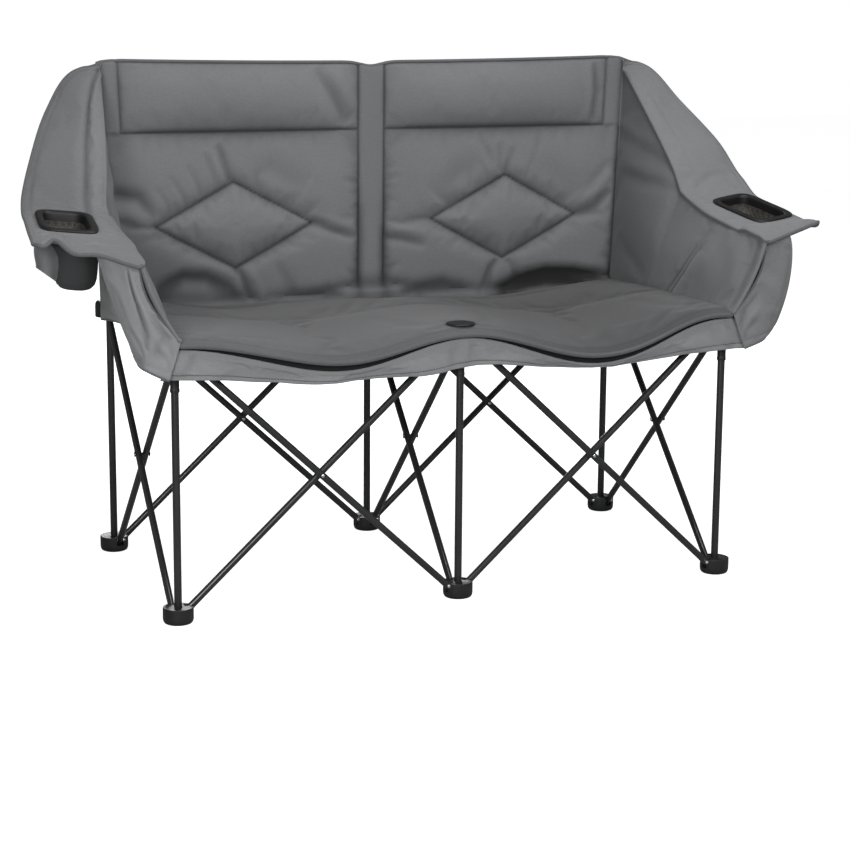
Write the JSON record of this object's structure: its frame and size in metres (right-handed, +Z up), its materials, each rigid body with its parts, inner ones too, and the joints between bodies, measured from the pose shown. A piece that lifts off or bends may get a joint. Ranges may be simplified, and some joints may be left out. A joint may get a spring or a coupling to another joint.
{
  "type": "folding camping loveseat",
  "caption": "Folding camp loveseat with quilted grey cloth, winged arms with cup holders, and crossed black steel braces on round plastic feet.",
  "frame": {"origin": "on the ground, under the middle of the whole object", "axes": "+X along the seat's width, +Y from the front towards the back, +Z up"},
  "size_m": [1.4326, 0.5734, 0.9081],
  "materials": {
    "black_tube": "smooth black powder coat, half gloss",
    "bright_steel": "bright zinc-plated steel",
    "black_plastic": "moulded black plastic with a fine grain",
    "cup_rim": "black moulded rim",
    "grey_cloth": "mid grey plain-woven polyester over foam, with sewn seams",
    "dark_cloth": "charcoal woven polyester"
  },
  "bodies": {
    "base": {"foot_back_middle": "black_plastic", "post_back_middle": "black_tube", "back_panel": "grey_cloth"},
    "back_foot_left": {"foot_back_left": "black_plastic", "post_back_left": "black_tube"},
    "back_foot_right": {"foot_back_right": "black_plastic", "post_back_right": "black_tube"},
    "front_foot_left": {"foot_front_left": "black_plastic", "leg_front_left": "black_tube"},
    "back_slider_left": {"slide_hub_left": "black_plastic"},
    "front_top_left": {"front_hub_left": "black_plastic", "guide_tube_left": "bright_steel", "arm_tube_left": "black_tube"},
    "front_foot_middle": {"foot_front_middle": "black_plastic", "leg_front_middle": "black_tube"},
    "back_slider_middle": {"slide_hub_middle": "black_plastic"},
    "front_top_middle": {"front_hub_middle": "black_plastic", "guide_tube_middle": "bright_steel", "clamp_disc": "black_plastic", "front_valance": "grey_cloth"},
    "front_foot_right": {"foot_front_right": "black_plastic", "leg_front_right": "black_tube"},
    "back_slider_right": {"slide_hub_right": "black_plastic"},
    "front_top_right": {"front_hub_right": "black_plastic", "guide_tube_right": "bright_steel", "arm_tube_right": "black_tube"},
    "middle_a": {"brace_middle_a": "black_tube", "rivet_middle": "bright_steel"},
    "middle_b": {"brace_middle_b": "black_tube"},
    "back_left_a": {"brace_back_left_a": "black_tube", "rivet_back_left": "bright_steel"},
    "back_left_b": {"brace_back_left_b": "black_tube"},
    "back_right_a": {"brace_back_right_a": "black_tube", "rivet_back_right": "bright_steel"},
    "back_right_b": {"brace_back_right_b": "black_tube"},
    "front_left_a": {"brace_front_left_a": "black_tube", "rivet_front_left": "bright_steel"},
    "front_left_b": {"brace_front_left_b": "black_tube"},
    "front_right_a": {"brace_front_right_a": "black_tube", "rivet_front_right": "bright_steel"},
    "front_right_b": {"brace_front_right_b": "black_tube"},
    "side_left_a": {"brace_side_left_a": "black_tube", "rivet_side_left": "bright_steel"},
    "side_left_b": {"brace_side_left_b": "black_tube"},
    "side_right_a": {"brace_side_right_a": "black_tube", "rivet_side_right": "bright_steel"},
    "side_right_b": {"brace_side_right_b": "black_tube"},
    "seat_front": {"seat_front_leaf": "grey_cloth"},
    "seat_rear": {"seat_rear_leaf": "grey_cloth"},
    "arm_left": {"side_panel_left": "grey_cloth", "arm_cover_left": "grey_cloth", "arm_wing_left": "grey_cloth", "cup_ring_left": "cup_rim", "cup_pouch_left": "dark_cloth"},
    "arm_right": {"side_panel_right": "grey_cloth", "arm_cover_right": "grey_cloth", "arm_wing_right": "grey_cloth", "cup_ring_right": "cup_rim", "cup_pouch_right": "dark_cloth"}
  },
  "joints": [
    {"name": "fold", "type": "hinge", "parent": "base", "child": "middle_a", "pos_m": [0, 0.2405, 0.0234], "axis": [-1, 0, 0], "range_deg": [0, 40.3], "deforming": ["seat_front_leaf", "seat_rear_leaf", "back_panel", "front_valance", "side_panel_left", "arm_cover_left", "arm_wing_left", "cup_pouch_left", "side_panel_right", "arm_cover_right", "arm_wing_right", "cup_pouch_right"]},
    {"name": "middle_crossing", "type": "hinge", "parent": "middle_a", "child": "middle_b", "pos_m": [0, 0.012, 0.2367], "axis": [-1, 0, 0], "range_deg": [-80.65, 0]},
    {"name": "middle_b_foot", "type": "hinge", "parent": "middle_b", "child": "front_foot_middle", "pos_m": [0, -0.2165, 0.0234], "axis": [-1, 0, 0], "range_deg": [0, 40.35]},
    {"name": "middle_a_top", "type": "hinge", "parent": "middle_a", "child": "front_top_middle", "pos_m": [0, -0.2165, 0.45], "axis": [-1, 0, 0], "range_deg": [-40.35, 0]},
    {"name": "middle_b_top", "type": "hinge", "parent": "middle_b", "child": "back_slider_middle", "pos_m": [0, 0.2405, 0.45], "axis": [-1, 0, 0], "range_deg": [0, 40.35]},
    {"name": "back_left_a_foot", "type": "hinge", "parent": "base", "child": "back_left_a", "pos_m": [-0.0215, 0.262, 0.0234], "axis": [0, 1, 0], "range_deg": [0, 40.35]},
    {"name": "back_left_crossing", "type": "hinge", "parent": "back_left_a", "child": "back_left_b", "pos_m": [-0.25, 0.262, 0.2367], "axis": [0, 1, 0], "range_deg": [-80.65, 0]},
    {"name": "back_left_b_foot", "type": "hinge", "parent": "back_left_b", "child": "back_foot_left", "pos_m": [-0.4785, 0.262, 0.0234], "axis": [0, 1, 0], "range_deg": [0, 40.35]},
    {"name": "back_left_a_top", "type": "hinge", "parent": "back_left_a", "child": "back_slider_left", "pos_m": [-0.4785, 0.262, 0.45], "axis": [0, 1, 0], "range_deg": [-40.35, 0]},
    {"name": "back_right_a_foot", "type": "hinge", "parent": "base", "child": "back_right_a", "pos_m": [0.0215, 0.262, 0.0234], "axis": [0, -1, 0], "range_deg": [0, 40.35]},
    {"name": "back_right_crossing", "type": "hinge", "parent": "back_right_a", "child": "back_right_b", "pos_m": [0.25, 0.262, 0.2367], "axis": [0, -1, 0], "range_deg": [-80.65, 0]},
    {"name": "back_right_b_foot", "type": "hinge", "parent": "back_right_b", "child": "back_foot_right", "pos_m": [0.4785, 0.262, 0.0234], "axis": [0, -1, 0], "range_deg": [0, 40.35]},
    {"name": "back_right_a_top", "type": "hinge", "parent": "back_right_a", "child": "back_slider_right", "pos_m": [0.4785, 0.262, 0.45], "axis": [0, -1, 0], "range_deg": [-40.35, 0]},
    {"name": "front_left_a_foot", "type": "hinge", "parent": "front_foot_middle", "child": "front_left_a", "pos_m": [-0.0215, -0.238, 0.0234], "axis": [0, 1, 0], "range_deg": [0, 40.35]},
    {"name": "front_left_crossing", "type": "hinge", "parent": "front_left_a", "child": "front_left_b", "pos_m": [-0.25, -0.238, 0.2367], "axis": [0, 1, 0], "range_deg": [-80.65, 0]},
    {"name": "front_left_b_foot", "type": "hinge", "parent": "front_left_b", "child": "front_foot_left", "pos_m": [-0.4785, -0.238, 0.0234], "axis": [0, 1, 0], "range_deg": [0, 40.35]},
    {"name": "front_left_a_top", "type": "hinge", "parent": "front_left_a", "child": "front_top_left", "pos_m": [-0.4785, -0.238, 0.45], "axis": [0, 1, 0], "range_deg": [-40.35, 0]},
    {"name": "front_right_a_foot", "type": "hinge", "parent": "front_foot_middle", "child": "front_right_a", "pos_m": [0.0215, -0.238, 0.0234], "axis": [0, -1, 0], "range_deg": [0, 40.35]},
    {"name": "front_right_crossing", "type": "hinge", "parent": "front_right_a", "child": "front_right_b", "pos_m": [0.25, -0.238, 0.2367], "axis": [0, -1, 0], "range_deg": [-80.65, 0]},
    {"name": "front_right_b_foot", "type": "hinge", "parent": "front_right_b", "child": "front_foot_right", "pos_m": [0.4785, -0.238, 0.0234], "axis": [0, -1, 0], "range_deg": [0, 40.35]},
    {"name": "front_right_a_top", "type": "hinge", "parent": "front_right_a", "child": "front_top_right", "pos_m": [0.4785, -0.238, 0.45], "axis": [0, -1, 0], "range_deg": [-40.35, 0]},
    {"name": "side_left_a_foot", "type": "hinge", "parent": "back_foot_left", "child": "side_left_a", "pos_m": [-0.5, 0.2405, 0.0234], "axis": [-1, 0, 0], "range_deg": [0, 40.35]},
    {"name": "side_left_b_foot", "type": "hinge", "parent": "front_foot_left", "child": "side_left_b", "pos_m": [-0.5, -0.2165, 0.0234], "axis": [-1, 0, 0], "range_deg": [-40.35, 0]},
    {"name": "side_right_a_foot", "type": "hinge", "parent": "back_foot_right", "child": "side_right_a", "pos_m": [0.5, 0.2405, 0.0234], "axis": [-1, 0, 0], "range_deg": [0, 40.35]},
    {"name": "side_right_b_foot", "type": "hinge", "parent": "front_foot_right", "child": "side_right_b", "pos_m": [0.5, -0.2165, 0.0234], "axis": [-1, 0, 0], "range_deg": [-40.35, 0]},
    {"name": "seat_front_fold", "type": "hinge", "parent": "front_top_middle", "child": "seat_front", "pos_m": [0, -0.21, 0.4734], "axis": [-1, 0, 0], "range_deg": [0, 95.96]},
    {"name": "seat_rear_fold", "type": "hinge", "parent": "back_slider_middle", "child": "seat_rear", "pos_m": [0, 0.214, 0.4734], "axis": [1, 0, 0], "range_deg": [0, 83.87]},
    {"name": "arm_left_fold", "type": "slide", "parent": "back_foot_left", "child": "arm_left", "axis": [0, 0.8924, 0.4512], "range_m": [0, 0.4317]},
    {"name": "arm_right_fold", "type": "slide", "parent": "back_foot_right", "child": "arm_right", "axis": [0, 0.8924, 0.4512], "range_m": [0, 0.4317]}
  ],
  "couplings": [
    {"joint": "middle_crossing", "follows": "fold", "ratio": -2},
    {"joint": "middle_b_foot", "follows": "fold", "ratio": 1},
    {"joint": "middle_a_top", "follows": "fold", "ratio": -1},
    {"joint": "middle_b_top", "follows": "fold", "ratio": 1},
    {"joint": "back_left_a_foot", "follows": "fold", "ratio": 1},
    {"joint": "back_left_crossing", "follows": "fold", "ratio": -2},
    {"joint": "back_left_b_foot", "follows": "fold", "ratio": 1},
    {"joint": "back_left_a_top", "follows": "fold", "ratio": -1},
    {"joint": "back_right_a_foot", "follows": "fold", "ratio": 1},
    {"joint": "back_right_crossing", "follows": "fold", "ratio": -2},
    {"joint": "back_right_b_foot", "follows": "fold", "ratio": 1},
    {"joint": "back_right_a_top", "follows": "fold", "ratio": -1},
    {"joint": "front_left_a_foot", "follows": "fold", "ratio": 1},
    {"joint": "front_left_crossing", "follows": "fold", "ratio": -2},
    {"joint": "front_left_b_foot", "follows": "fold", "ratio": 1},
    {"joint": "front_left_a_top", "follows": "fold", "ratio": -1},
    {"joint": "front_right_a_foot", "follows": "fold", "ratio": 1},
    {"joint": "front_right_crossing", "follows": "fold", "ratio": -2},
    {"joint": "front_right_b_foot", "follows": "fold", "ratio": 1},
    {"joint": "front_right_a_top", "follows": "fold", "ratio": -1},
    {"joint": "side_left_a_foot", "follows": "fold", "ratio": 1},
    {"joint": "side_left_b_foot", "follows": "fold", "ratio": -1},
    {"joint": "side_right_a_foot", "follows": "fold", "ratio": 1},
    {"joint": "side_right_b_foot", "follows": "fold", "ratio": -1},
    {"joint": "seat_front_fold", "follows": "fold", "ratio": 2.38},
    {"joint": "seat_rear_fold", "follows": "fold", "ratio": 2.08},
    {"joint": "arm_left_fold", "follows": "fold", "m_per_rad": 0.61236},
    {"joint": "arm_right_fold", "follows": "fold", "m_per_rad": 0.61236}
  ]
}
